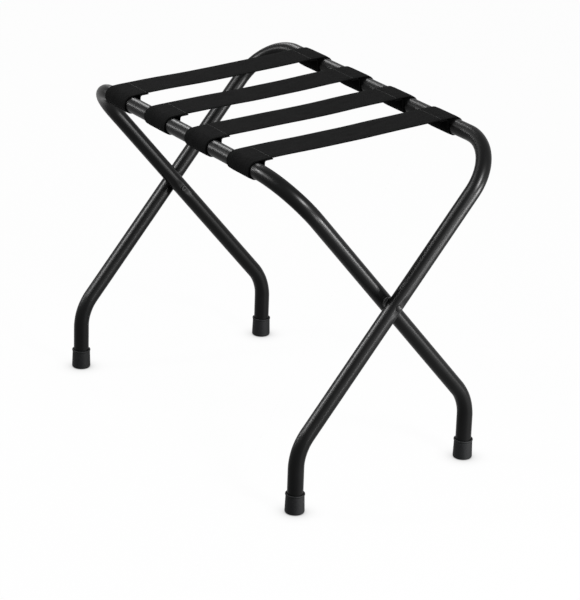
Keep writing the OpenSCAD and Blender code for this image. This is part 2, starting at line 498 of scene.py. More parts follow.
class Recipe:
    """The node tree of one material or of the world, emptied and written anew."""

    def __init__(self, owner: bpy.types.Material | bpy.types.World) -> None:
        """Empties the owner's tree."""
        owner.use_nodes = True
        self.tree = owner.node_tree
        self.tree.nodes.clear()

    def node(self, kind: str, settings: dict[str, object] | None = None,
             inputs: dict[str | int, object] | None = None) -> Made:
        """Adds a node.

        Args:
            kind: The node's type.
            settings: Properties of the node, set before its inputs.
            inputs: Values or signals for its input sockets, by name or number.

        Returns:
            The node.
        """
        node = self.tree.nodes.new(kind)
        for name, value in (settings or {}).items():
            setattr(node, name, value)
        for key, value in (inputs or {}).items():
            if isinstance(value, Signal):
                self.tree.links.new(value.socket, node.inputs[key])
            else:
                node.inputs[key].default_value = value
        return Made(self, node)

    def place(self) -> Signal:
        """Position on the object, in metres."""
        return self.node("ShaderNodeTexCoord").out("Object")

    def mark(self, name: str) -> Signal:
        """The values that the piece's points carry under a name, as a vector."""
        return self.node("ShaderNodeAttribute", {"attribute_name": name}).out("Vector")

    def parts(self, vector: Signal) -> tuple[Signal, Signal, Signal]:
        """The X, Y and Z of a vector."""
        split = self.node("ShaderNodeSeparateXYZ", inputs={0: vector})
        return split.out(0), split.out(1), split.out(2)

    def joined(self, x: Signal | float, y: Signal | float, z: Signal | float = 0.0) -> Signal:
        """A vector from its X, Y and Z."""
        return self.node("ShaderNodeCombineXYZ", inputs={0: x, 1: y, 2: z}).out(0)

    def noise(self, vector: Signal, grain: float, detail: float = 2.0, roughness: float = 0.5) -> Signal:
        """Smooth noise from 0 to 1.

        Args:
            vector: Position in metres.
            grain: Size of the noise's features, in metres.
            detail: Number of finer octaves.
            roughness: Weight of the finer octaves.

        Returns:
            The noise.
        """
        inputs = {"Vector": vector, "Scale": 1 / grain, "Detail": detail, "Roughness": roughness}
        return self.node("ShaderNodeTexNoise", inputs=inputs).out(0)

    def blend(self, amount: Signal | float, a: object, b: object) -> Signal:
        """The colour a where amount is 0 and b where it is 1."""
        settings = {"data_type": "RGBA", "clamp_factor": True}
        return self.node("ShaderNodeMix", settings, {0: amount, 6: a, 7: b}).out(2)

    def relief(self, height: Signal, depth: float) -> Signal:
        """A bumped normal.

        Args:
            height: Height of the surface, in units of depth.
            depth: Size of one unit of height, in metres.

        Returns:
            The normal.
        """
        inputs = {"Height": height, "Distance": depth, "Strength": 1.0}
        return self.node("ShaderNodeBump", inputs=inputs).out("Normal")


def grey(level: float, tint: float = 0.0) -> tuple[float, float, float, float]:
    """A grey in linear light, with blue raised and red lowered by a share of it."""
    return (level * (1 - tint), level, level * (1 + tint), 1.0)


def shown(name: str, data: bpy.types.ID) -> bpy.types.Object:
    """A new object with this data, linked to the scene."""
    thing = bpy.data.objects.new(name, data)
    bpy.context.scene.collection.objects.link(thing)
    return thing


@dataclass(frozen=True)
class Finish:
    """A finish that fills one material. Each kind of finish writes its own pattern."""

    name: str
    level: float
    tint: float = 0.0
    roughness: float = 0.5
    specular: float = 0.5

    def material(self) -> bpy.types.Material:
        """The finish's material, made the first time that it is asked for.

        Returns:
            The material.
        """
        known = bpy.data.materials.get(self.name)
        if known is not None:
            return known
        material = bpy.data.materials.new(self.name)
        recipe = Recipe(material)
        inputs = {"Specular IOR Level": self.specular, **self.inputs(recipe)}
        shader = recipe.node("ShaderNodeBsdfPrincipled", {"distribution": "GGX"}, inputs)
        recipe.node("ShaderNodeOutputMaterial", inputs={"Surface": shader.out("BSDF")})
        return material

    def tone(self, share: float) -> tuple[float, float, float, float]:
        """The finish's grey, at a share of its level."""
        return grey(self.level * share, self.tint)

    def inputs(self, recipe: Recipe) -> dict[str, object]:
        """The values and signals for the surface shader's sockets.

        Args:
            recipe: The material's node tree.

        Returns:
            Values and signals by socket name.
        """
        raise NotImplementedError


@dataclass(frozen=True)
class SatinCoating(Finish):
    """Satin black coating on steel: a fine orange-peel skin, faintly uneven in gloss and tone."""

    cloud_grain: float = 45 * MM
    speck_grain: float = 0.5 * MM
    peel_grain: float = 1.6 * MM
    peel_depth: float = 0.0015 * MM

    def inputs(self, recipe: Recipe) -> dict[str, object]:
        """Colour, gloss and relief of the coating, by socket name."""
        place = recipe.place()
        cloud = recipe.noise(place, self.cloud_grain, 3.0)
        speck = recipe.noise(place, self.speck_grain, 1.0)
        peel = recipe.noise(place, self.peel_grain, 2.0)
        colour = recipe.blend(cloud.ramp(0.3, 0.7), self.tone(0.85), self.tone(1.15))
        return {
            "Base Color": recipe.blend(speck.ramp(0.66, 0.8, 0.0, 0.4), colour, self.tone(1.8)),
            "Roughness": self.roughness + (cloud - 0.5) * 0.03 + (peel - 0.5) * 0.006,
            "Normal": recipe.relief(peel, self.peel_depth),
        }


@dataclass(frozen=True)
class MouldedRubber(Finish):
    """Matte moulded rubber: faint upright ribs from the mould, a fine grain, painted upright sheen and
    lighter patches low down.
    """

    rib_count: int = 48
    rib_depth: float = 0.05 * MM
    rib_start_r: float = 11 * MM
    rib_full_r: float = 12 * MM
    grain: float = 0.35 * MM
    grain_depth: float = 0.02 * MM
    streak_grain: float = 3 * MM
    dust_top: float = 9 * MM

    def inputs(self, recipe: Recipe) -> dict[str, object]:
        """Colour, gloss and relief of the rubber, by socket name."""
        x, y, z = recipe.parts(recipe.mark("turned"))
        side = (x * x + y * y).ramp(self.rib_start_r ** 2, self.rib_full_r ** 2)
        ribs = (y.angle_to(x) * self.rib_count).sine() * side
        grain = recipe.noise(recipe.place(), self.grain, 2.0)
        # painted sheen: upright streaks, stretched along the cap's axis, lighten the colour and also vary
        # the gloss
        streak = recipe.noise(recipe.joined(x, y, z * 0.08), self.streak_grain, 2.0)
        # lighter and rougher patches on the lowest part of the cap, following the streaks
        lighter_low_patches = z.ramp(0.0, self.dust_top, 1.0, 0.0) * streak.ramp(0.4, 0.75)
        return {
            "Base Color": recipe.blend(lighter_low_patches * 0.35 + streak * 0.25, self.tone(1.0), self.tone(2.2)),
            "Roughness": self.roughness + (streak - 0.5) * 0.12 + lighter_low_patches * 0.08,
            "Normal": recipe.relief(ribs * self.rib_depth + grain * self.grain_depth, 1.0),
        }


@dataclass(frozen=True)
class TurnedPlastic(Finish):
    """Turned nylon or coated metal: fine rings about the piece's axis and a soft grain."""

    ring_pitch: float = 0.4 * MM
    ring_depth: float = 0.006 * MM
    cloud_grain: float = 2 * MM
    cloud_depth: float = 0.01 * MM

    def inputs(self, recipe: Recipe) -> dict[str, object]:
        """Colour, gloss and relief of the turned surface, by socket name."""
        x, y, z = recipe.parts(recipe.mark("turned"))
        radius = (x * x + y * y) ** 0.5
        rings = ((radius + z) * (TURN / self.ring_pitch)).sine()
        cloud = recipe.noise(recipe.place(), self.cloud_grain, 3.0)
        return {
            "Base Color": recipe.blend(cloud.ramp(0.35, 0.7), self.tone(0.8), self.tone(1.3)),
            "Roughness": self.roughness + (cloud - 0.5) * 0.15,
            "Normal": recipe.relief(rings * self.ring_depth + cloud * self.cloud_depth, 1.0),
        }


@dataclass(frozen=True)
class StampedSteel(Finish):
    """Plain steel punched from sheet: rolling lines one way, small dull spots and a metal gloss."""

    line_grain: float = 0.3 * MM
    line_depth: float = 0.008 * MM
    spot_grain: float = 2.5 * MM

    def inputs(self, recipe: Recipe) -> dict[str, object]:
        """Colour, gloss and relief of the steel, by socket name."""
        place = recipe.place()
        x, y, z = recipe.parts(place)
        lines = recipe.noise(recipe.joined(x * 0.05, y, z), self.line_grain, 3.0)
        spots = recipe.noise(place, self.spot_grain, 2.0).ramp(0.55, 0.7)
        return {
            "Base Color": recipe.blend(spots * 0.6 + lines * 0.2, self.tone(1.0), self.tone(0.45)),
            "Metallic": 1.0 - spots * 0.3,
            "Roughness": self.roughness + spots * 0.25 + (lines - 0.5) * 0.15,
            "Normal": recipe.relief(lines, self.line_depth),
        }


@dataclass(frozen=True)
class WovenWebbing(Finish):
    """Woven webbing, from the mark "weave": distance along, distance across, and nearness to an edge.

    Weft ribs lie across the strap, warp cords run along it between them, and the colour carries painted
    shade in the valleys of the weave. The selvedge is tighter, the colour is darker towards the edges,
    and long streaks along the strap vary the tone.
    """

    rib_pitch: float = 1.5 * MM
    cord_pitch: float = 1.25 * MM
    relief_depth: float = 0.16 * MM
    streak_grain: float = 1.6 * MM
    mottle_grain: float = 9 * MM
    fibre_grain: float = 0.18 * MM
    selvedge_start: float = 0.3 * MM
    selvedge_end: float = 1.8 * MM
    fuzz: float = 0.004

    def inputs(self, recipe: Recipe) -> dict[str, object]:
        """Colour, gloss, sheen and relief of the cloth, by socket name."""
        along, across, inset = recipe.parts(recipe.mark("weave"))
        ply = (across * (math.pi / self.cord_pitch)).sine()
        cord = abs(ply)
        stagger = (ply * 6).larger(-0.8)
        rib = (along * (TURN / self.rib_pitch) + stagger * 0.5).sine() * 0.5 + 0.5
        weave = cord * 0.55 + rib * 0.45
        streak = recipe.noise(recipe.joined(along * 0.07, across), self.streak_grain, 3.0, 0.6)
        mottle = recipe.noise(recipe.joined(along * 0.35, across), self.mottle_grain, 3.0, 0.55)
        fibre = recipe.noise(recipe.joined(along, across, inset), self.fibre_grain, 2.0)
        edge = inset.ramp(self.selvedge_start, self.selvedge_end, 1.0, 0.0)
        lit = streak.ramp(0.3, 0.72) * 0.45 + mottle.ramp(0.3, 0.75) * 0.4 + (fibre - 0.5) * 0.5
        worn = recipe.blend(lit, self.tone(0.5), self.tone(1.9))
        # painted shade: the colour darkens in the weave's valleys between cords and ribs
        painted_valley_shade = recipe.blend(weave.ramp(0.0, 0.75, 0.55, 0.0), worn, self.tone(0.35))
        height = weave + (fibre - 0.5) * 0.25 - edge * 0.3
        return {
            # the colour darkens towards the strap's edges
            "Base Color": recipe.blend(edge * 0.7, painted_valley_shade, self.tone(0.3)),
            "Roughness": self.roughness + (fibre - 0.5) * 0.2 + edge * 0.05,
            "Sheen Weight": self.fuzz,
            "Sheen Roughness": 0.5,
            "Sheen Tint": grey(0.5),
            "Normal": recipe.relief(height, self.relief_depth),
        }


@dataclass(frozen=True)
class TwistedThread(Finish):
    """Sewing thread, from the mark "twist": slanted strands that wind round each stitch, with painted shade
    in the grooves.
    """

    strand_pitch: float = 0.5 * MM
    strand_depth: float = 0.06 * MM
    strands: int = 2
    fibre_grain: float = 0.12 * MM

    def inputs(self, recipe: Recipe) -> dict[str, object]:
        """Colour, gloss and relief of the thread, by socket name."""
        along, around, _ = recipe.parts(recipe.mark("twist"))
        strand = (along * (TURN / self.strand_pitch) + around * self.strands).sine() * 0.5 + 0.5
        fibre = recipe.noise(recipe.place(), self.fibre_grain, 2.0)
        return {
            # painted shade: the colour follows the strands, darker in the grooves between them
            "Base Color": recipe.blend(strand * 0.6 + fibre * 0.4, self.tone(0.5), self.tone(1.4)),
            "Roughness": self.roughness + (fibre - 0.5) * 0.2,
            "Normal": recipe.relief(strand, self.strand_depth),
        }


FRAME_COATING = SatinCoating("satin_black_coating", level=0.001, tint=0.02, roughness=0.33, specular=0.055)
RIVET_COATING = TurnedPlastic("coated_rivet", level=0.003, roughness=0.42, specular=0.08)
SPACER_NYLON = TurnedPlastic("black_nylon", level=0.006, roughness=0.45, specular=0.2)
FOOT_RUBBER = MouldedRubber("moulded_black_rubber", level=0.0008, tint=0.12, roughness=0.6, specular=0.08)
DISC_STEEL = StampedSteel("stamped_steel", level=0.55, roughness=0.38)
STRAP_WEBBING = WovenWebbing("woven_black_webbing", level=0.0011, tint=0.01, roughness=0.85, specular=0.01)
SEAM_THREAD = TwistedThread("black_sewing_thread", level=0.007, roughness=0.7, specular=0.1)


def dressed(name: str, skin: Skin, finish: Finish, body: str,
            stands_for: str) -> bpy.types.Object:
    """Turns a skin into a piece of the rack.

    Args:
        name: The piece's name.
        skin: Its surface.
        finish: Its finish.
        body: The moving body that it rides on.
        stands_for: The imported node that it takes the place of.

    Returns:
        The piece.
    """
    mesh = bpy.data.meshes.new(name)
    mesh.from_pydata(skin.points.tolist(), [], [face for faces in skin.faces for face in faces.tolist()])
    for mark, values in skin.marks.items():
        attribute = mesh.attributes.new(mark, "FLOAT_VECTOR", "POINT")
        attribute.data.foreach_set("vector", values.astype(np.float32).ravel())
    mesh.shade_smooth()
    mesh.set_sharp_from_angle(angle=SHARP_ANGLE)
    mesh.materials.append(finish.material())
    piece = shown(name, mesh)
    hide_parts(stands_for)
    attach(piece, body)
    log.info("%s: %d points on %s", name, len(skin.points), body)
    return piece


@dataclass
class BentTube:
    """One U-shaped frame, bent from a single length of tube: two legs with cranked feet, and a rail."""

    at: Measures
    member: Member
    rail_bend_r: float = 72 * MM
    knee_bend_r: float = 70 * MM
    wall: float = 1.5 * MM
    ovality: float = 0.035
    flat_depth: float = 0.8 * MM
    flat_half: float = 7 * MM
    flat_fade: float = 15 * MM
    flat_edge: float = 0.5 * MM
    steps_round: int = 72
    straight_step: float = 12 * MM
    pivot_step: float = 1.5 * MM
    bend_step: float = math.radians(2.5)

    def route(self) -> Route:
        """The tube's centre line, from the end in the front foot to the end in the back one.

        Each straight length runs between two corners, less r tan(t / 2) for a bend of radius r that
        turns by t at each. Stations lie closer together round the pivots.

        Returns:
            The centre line, for a frame whose rail is at +X, with X measured from the pivots.
        """
        at, leg_y = self.at, self.at.leg_y[self.member]
        rail_x, rail_z = at.rail[self.member]
        rise = rail_z - at.pivot_z
        uphill = unit([rail_x, 0, rise])
        tilt = math.atan2(rail_x, rise)
        knee_z = rail_z - (rail_x + at.foot_x) * rise / rail_x
        knee_cut = self.knee_bend_r * math.tan(tilt / 2)
        to_pivot = at.foot_x / math.sin(tilt) - knee_cut
        from_pivot = rail_x / math.sin(tilt) - self.rail_bend_r
        shank = knee_z - knee_cut - at.foot_z
        zone = self.flat_half + self.flat_fade

        route = Route([-at.foot_x, -leg_y, at.foot_z], [0, 0, 1], [0, 1, 0])
        route.straight(shank, self.straight_step).bend_to(uphill, self.knee_bend_r, self.bend_step)
        route.straight(to_pivot - zone, self.straight_step).straight(2 * zone, self.pivot_step)
        route.straight(from_pivot - zone, self.straight_step)
        route.bend_to([0, 1, 0], self.rail_bend_r, self.bend_step)
        route.straight(2 * (leg_y - self.rail_bend_r), self.straight_step)
        route.bend_to(-uphill, self.rail_bend_r, self.bend_step)
        route.straight(from_pivot - zone, self.straight_step).straight(2 * zone, self.pivot_step)
        route.straight(to_pivot - zone, self.straight_step)
        route.bend_to([0, 0, -1], self.knee_bend_r, self.bend_step).straight(shank, self.straight_step)
        return route

    def surface(self, route: Route, radius: float, depth: float) -> Array:
        """A round skin along the route, drawn in where the tube bends and pressed flat at the pivots.

        In a bend the section shrinks towards the centre by the ovality and widens by half as much
        across. At a pivot the offset along Y is held below radius less depth, by a rounded minimum,
        and the press fades out along the leg.

        Args:
            route: The centre line.
            radius: The skin's radius.
            depth: How deep the flats are pressed.

        Returns:
            Points, (stations, points round, 3).
        """
        angles = TURN * np.arange(self.steps_round) / self.steps_round
        offsets = route.offsets(radius * np.stack([np.cos(angles), np.sin(angles)], axis=-1))
        pulls = route.pulls[:, None]
        strength = np.sum(pulls * pulls, axis=-1, keepdims=True)
        inward = np.sum(offsets * pulls, axis=-1, keepdims=True) * pulls
        offsets = offsets * (1 + self.ovality / 2 * strength) - 1.5 * self.ovality * inward
        places = route.places
        away = np.hypot(places[:, 0], places[:, 2] - self.at.pivot_z)
        press = 1 - smooth_step((away - self.flat_half) / self.flat_fade)
        limit = (radius - depth * press)[:, None]
        y = offsets[..., 1]
        offsets[..., 1] = np.sign(y) * smooth_least(np.abs(y), limit, self.flat_edge)
        return places[:, None] + offsets

    def build(self) -> bpy.types.Object:
        """Builds the tube with its bore and its square ends.

        Returns:
            The piece.
        """
        route = self.route()
        outside = self.surface(route, self.at.tube_r, self.flat_depth)
        inside = self.surface(route, self.at.tube_r - self.wall, 0.0)
        rings = np.concatenate([outside, inside[::-1]])
        rings[..., 0] = self.at.pivot_x + self.member.value * rings[..., 0]
        skin = Skin(rings.reshape(-1, 3), [grid_faces(*rings.shape[:2], wrap_rows=True)]).outward()
        word = self.member.word
        return dressed(f"{word}_bent_tube", skin, FRAME_COATING, f"{word}_frame",
                       f"{word}_frame_tube")


@dataclass
class Pivot:
    """A rivet through both frames' legs, and the spacer between them."""

    at: Measures
    side: Side
    flat_depth: float = 0.8 * MM
    shank_r: float = 3 * MM
    head_r: float = 5.25 * MM
    head_h: float = 3 * MM
    head_rim: float = 0.4 * MM
    skirt: float = 0.55 * MM
    tail_r: float = 4 * MM
    tail_h: float = 1 * MM
    dimple_r: float = 1.9 * MM
    dimple_floor_r: float = 1.5 * MM
    dimple_floor_h: float = 0.6 * MM
    dimple_middle_h: float = 0.9 * MM
    spacer_r: float = 8 * MM
    spacer_rim: float = 1.4 * MM
    spacer_waist: float = 0.35 * MM
    bore_clearance: float = 0.05 * MM
    side_clearance: float = 0.2 * MM

    @property
    def middle(self) -> Array:
        """The point of the fold's axis midway between the legs."""
        return np.array([self.at.pivot_x, 0, self.at.pivot_z])

    def rivet(self) -> None:
        """Builds a domed head that sits down on the tube, a shank, and a tail rolled over a dimple."""
        seat = self.at.leg_y[Member.OUTER] + self.at.tube_r - self.flat_depth
        tail = self.at.leg_y[Member.INNER] - self.at.tube_r + self.flat_depth - self.side_clearance
        dome_h = self.head_h - self.head_rim
        dome_r = (self.head_r ** 2 + dome_h ** 2) / (2 * dome_h)
        angles = np.linspace(0, math.asin(self.head_r / dome_r), 14)
        dome = np.stack([dome_r * np.sin(angles), seat + self.head_h + dome_r * (np.cos(angles) - 1)], -1)
        under = rounded([
            (self.head_r, seat + self.head_rim, 0), (self.head_r, seat - self.skirt, 0.25 * MM),
            (self.shank_r, seat - self.skirt, 0), (self.shank_r, tail, 0.2 * MM),
            (self.tail_r, tail, 0.25 * MM), (self.tail_r, tail - self.tail_h, 0.45 * MM),
            (self.dimple_r, tail - self.tail_h, 0.45 * MM),
            (self.dimple_floor_r, tail + self.dimple_floor_h, 0.4 * MM),
            (0, tail + self.dimple_middle_h, 0)])
        skin = turned(np.concatenate([dome, under]), self.middle, [0, self.side.value, 0], 56)
        name = self.side.name.lower()
        dressed(f"{name}_rivet", skin, RIVET_COATING, "outer_frame", f"{name}_pivot_rivet")

    def spacer(self) -> None:
        """Builds a ring with rounded edges and a shallow waist round its middle."""
        low = self.at.leg_y[Member.INNER] + self.at.tube_r - self.flat_depth + self.side_clearance
        high = self.at.leg_y[Member.OUTER] - self.at.tube_r + self.flat_depth
        bore, mid = self.shank_r + self.bore_clearance, (low + high) / 2
        rim, waist = self.spacer_rim, self.spacer_waist
        outline = rounded([
            (bore, mid, 0), (bore, low, 0.3 * MM), (self.spacer_r, low, 0.6 * MM),
            (self.spacer_r, low + rim, 0.3 * MM), (self.spacer_r - waist, low + rim + waist, 0.3 * MM),
            (self.spacer_r - waist, high - rim - waist, 0.3 * MM), (self.spacer_r, high - rim, 0.3 * MM),
            (self.spacer_r, high, 0.6 * MM), (bore, high, 0.3 * MM), (bore, mid, 0)])
        skin = turned(outline[:-1], self.middle, [0, self.side.value, 0])
        name = self.side.name.lower()
        dressed(f"{name}_spacer", skin, SPACER_NYLON, "outer_frame", f"{name}_pivot_spacer")


@dataclass
class Foot:
    """A rubber cap on one end of a frame, with a steel disc under the tube."""

    at: Measures
    member: Member
    side: Side
    height: float = 28 * MM
    bottom_r: float = 13.6 * MM
    top_r: float = 12.7 * MM
    bead: float = 0.7 * MM
    bore_r: float = 11.05 * MM
    mouth_r: float = 11.5 * MM
    mouth_depth: float = 1.2 * MM
    mouth_end: float = 1.8 * MM
    edge_r: float = 2.5 * MM
    disc_t: float = 1.2 * MM
    lip_h: float = 2.6 * MM
    groove: float = 0.6 * MM
    groove_in_r: float = 4 * MM
    ridge_r: float = 6.5 * MM
    groove_out_r: float = 7.5 * MM

    @property
    def name(self) -> str:
        """The foot's node name."""
        return f"{self.member.word}_{self.side.name.lower()}_foot"

    def profile(self) -> Array:
        """The cap's outline from the middle of its sole, up its side and down into its socket.

        The sole has a hollow in its middle and a groove round that, with a ridge between them.

        Returns:
            Points (radius, height).
        """
        floor = self.at.foot_z - self.disc_t
        groove, lip, rim, soft = self.groove, self.lip_h, self.top_r + self.bead, 0.2 * MM
        return rounded([
            (0, groove, 0), (self.groove_in_r, groove, soft), (self.groove_in_r, 0, soft),
            (self.ridge_r, 0, soft), (self.ridge_r, groove, soft), (self.groove_out_r, groove, soft),
            (self.groove_out_r, 0, soft), (self.bottom_r, 0, self.edge_r),
            (self.top_r + 0.05 * MM, self.height - lip, 0.4 * MM),
            (rim, self.height - lip + 0.8 * MM, 0.5 * MM), (rim, self.height, 0.6 * MM),
            (self.mouth_r, self.height, 0.25 * MM), (self.mouth_r, self.height - self.mouth_depth, soft),
            (self.bore_r, self.height - self.mouth_end, soft), (self.bore_r, floor, 0), (0, floor, 0)])

    def build(self) -> None:
        """Builds the cap and gives the disc inside it its finish."""
        at = self.at
        centre = [at.pivot_x - at.foot_x * self.member.value, at.leg_y[self.member] * self.side.value, 0]
        skin = turned(self.profile(), centre, [0, 0, 1], 72)
        disc = frame["nodes"][f"{self.name}_disc"]
        disc.data.materials.clear()
        disc.data.materials.append(DISC_STEEL.material())
        dressed(f"{self.name}_cap", skin, FOOT_RUBBER, f"{self.member.word}_frame", self.name)


@dataclass
class StrapHalf:
    """Half of a strap: its loop round one rail, closed by a seam, and its flat part to the middle.

    In the strap's own plane, u is the distance from the rail's axis towards the middle of the rack
    and v the height above it. The lower layer ends at tail_u and turns down to the loop at corner_u,
    and the webbing starts to drop towards the strap's middle at level_u.
    """

    at: Measures
    member: Member
    number: int
    thickness: float = 2 * MM
    gap: float = 0.3 * MM
    corner_u: float = 13 * MM
    corner_r: float = 3 * MM
    crown: float = 0.8 * MM
    crown_reach: float = 12 * MM
    crown_height: float = 9 * MM
    tail_u: float = 26 * MM
    level_u: float = 26 * MM
    sag: float = 0.5 * MM
    seam_row: float = 23 * MM
    seam_margin: float = 2 * MM
    seam_dip: float = 0.35 * MM
    seam_reach: float = 1.1 * MM
    edge_wave: float = 0.25 * MM
    wave_scale: float = 23 * MM
    wave_offset: float = 1.7
    thin_edge: float = 0.3 * MM
    step: float = 2 * MM
    arc_step: float = math.radians(6)
    across_steps: int = 36
    edge_steps: int = 4

    @property
    def node(self) -> str:
        """The half's node name."""
        return f"strap_{self.number}_{self.member.word}_half"

    @property
    def loop_r(self) -> float:
        """Radius of the middle of the webbing round the rail."""
        return self.at.tube_r + self.gap + self.thickness / 2

    @property
    def middle_y(self) -> float:
        """Where the strap's middle lies along the rail."""
        low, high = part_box(self.node)
        return (low[1] + high[1]) / 2

    @property
    def width(self) -> float:
        """Width of the webbing."""
        low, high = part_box(self.node)
        return high[1] - low[1]

    def route(self) -> Route:
        """The middle of the webbing, in (u, v): tail, down round the rail, and on to the middle.

        The lower layer leaves the loop along the tangent through the corner under the seam. For a
        circle of radius r and a corner at distance d, the tangent touches at acos(r / d) from the
        corner's own angle.

        Returns:
            The path, with u as X, v as Z and the strap's width along Y.
        """
        corner = np.array([self.corner_u, self.loop_r - self.thickness])
        distance = np.linalg.norm(corner)
        touch = math.atan2(corner[1], corner[0]) - math.acos(self.loop_r / distance)
        slope = np.array([math.sin(touch), 0, -math.cos(touch)])
        turn = math.acos(-slope[0])
        cut = self.corner_r * math.tan(turn / 2)
        slant = math.sqrt(distance ** 2 - self.loop_r ** 2)
        route = Route([self.tail_u, 0, corner[1]], [-1, 0, 0], [0, 1, 0])
        route.straight(self.tail_u - self.corner_u - cut, self.step / 2)
        route.bend_to(slope, self.corner_r, self.arc_step)
        route.straight(slant - cut, self.step / 2)
        route.bend(self.loop_r, TURN * 3 / 4 + touch, [-math.cos(touch), 0, -math.sin(touch)], self.arc_step)
        route.straight(self.level_u, self.step / 2)
        return route.straight(self.at.half_span - self.level_u, self.step)

    def outline(self) -> tuple[Array, Array]:
        """The webbing's section: flat faces that thin out towards round edges.

        Round each edge the section follows a half circle, and the half thickness falls by the thin
        edge's amount as a cosine over the last eighth of the width.

        Returns:
            Points (across, up) once round, and how far each lies from the nearer edge.
        """
        half, edge_r = self.width / 2, self.thickness / 2 - self.thin_edge
        flat = half - edge_r
        across = np.linspace(-flat, flat, self.across_steps + 1)
        inset = half - np.abs(across)
        thin = self.thin_edge * np.cos(math.pi / 2 * np.clip((inset - edge_r) / (self.width / 8), 0, 1))
        rise = self.thickness / 2 - thin
        bow = np.linspace(math.pi / 2, -math.pi / 2, self.edge_steps + 2)[1:-1]
        right = np.stack([flat + edge_r * np.cos(bow), edge_r * np.sin(bow)], axis=-1)
        points = np.concatenate([np.stack([across, rise], -1), right,
                                 np.stack([across[::-1], -rise[::-1]], -1), -right])
        return points, half - np.abs(points[:, 0])

    def drape(self, points: Array, route: Route) -> Array:
        """Bends the carried section as the cloth lies: sagging, pulled in by its seam and slightly wavy.

        Stiff webbing stands off the rail, so both layers rise by the crown between the loop's outer
        side and its top, and the inner side stretches up to them. Beyond the seam the webbing drops by
        (crown + sag) sin^2 of the share of the way to the middle. The row of stitches pulls the two
        faces in by a bell curve. The edges rise and fall a little, with the square of the distance
        across, and settle to nothing in the loop and at the middle.

        Args:
            points: The carried section, (stations, points round, 3), in (u, across, v).
            route: The middle of the webbing.

        Returns:
            The points moved.
        """
        u, y, v = points[..., 0], points[..., 1], points[..., 2]
        places = route.places
        on_top = (np.arange(len(places)) > len(places) / 3) & (places[:, 0] > 0)
        share = np.clip((u - self.level_u) / (self.at.half_span - self.level_u), 0, 1)
        drop = (self.crown + self.sag) * np.sin(math.pi / 2 * share) ** 2
        phase = self.number * self.wave_offset + self.member.value
        wave = np.sin(u / self.wave_scale + phase) * np.sin(math.pi * share) * (2 * y / self.width) ** 2
        inside = smooth_step((self.width / 2 - self.seam_margin + MM - np.abs(y)) / (2 * MM))
        pull = np.exp(-((u - self.seam_row) / self.seam_reach) ** 2) * self.seam_dip * inside
        outer_face = v > self.loop_r + 0.3 * self.thickness
        under_face = (v < self.loop_r - 1.3 * self.thickness) & (u > self.corner_u)
        shift = np.where(on_top[:, None], self.edge_wave * wave - drop, 0)
        shift = shift - np.where(outer_face & (u > 0), pull, 0) + np.where(under_face, pull, 0)
        rise = smooth_step(u / (2 * self.crown_reach) + 0.5) * smooth_step(v / self.crown_height)
        shift = shift + self.crown * rise
        moved = points.copy()
        moved[..., 2] = v + shift
        return moved

    def build(self, rests_on: bpy.types.Object, stitches: bpy.types.Object) -> bpy.types.Object:
        """Args:
            rests_on: The tube that it goes round. Not used.
            stitches: The thread that closes its loop. Not used.

        Returns:
            The piece.
        """
        route = self.route()
        outline, inset = self.outline()
        rings = self.drape(route.places[:, None] + route.offsets(outline * [1, -1]), route)
        rows, columns = rings.shape[:2]
        weave = np.stack(np.broadcast_arrays(route.run[:, None], outline[None, :, 0], inset[None]), -1)
        skin = capped(rings, {"weave": weave.reshape(rows, columns, 3)})
        skin.points = self.at.laid(skin.points + [0, self.middle_y, 0], self.member)
        name = f"strap_{self.number}_{self.member.word}_webbing"
        piece = dressed(name, skin.outward(), STRAP_WEBBING, f"{self.member.word}_strap_halves",
                        self.node)
        self.width
        float(route.run[-1])
        return piece


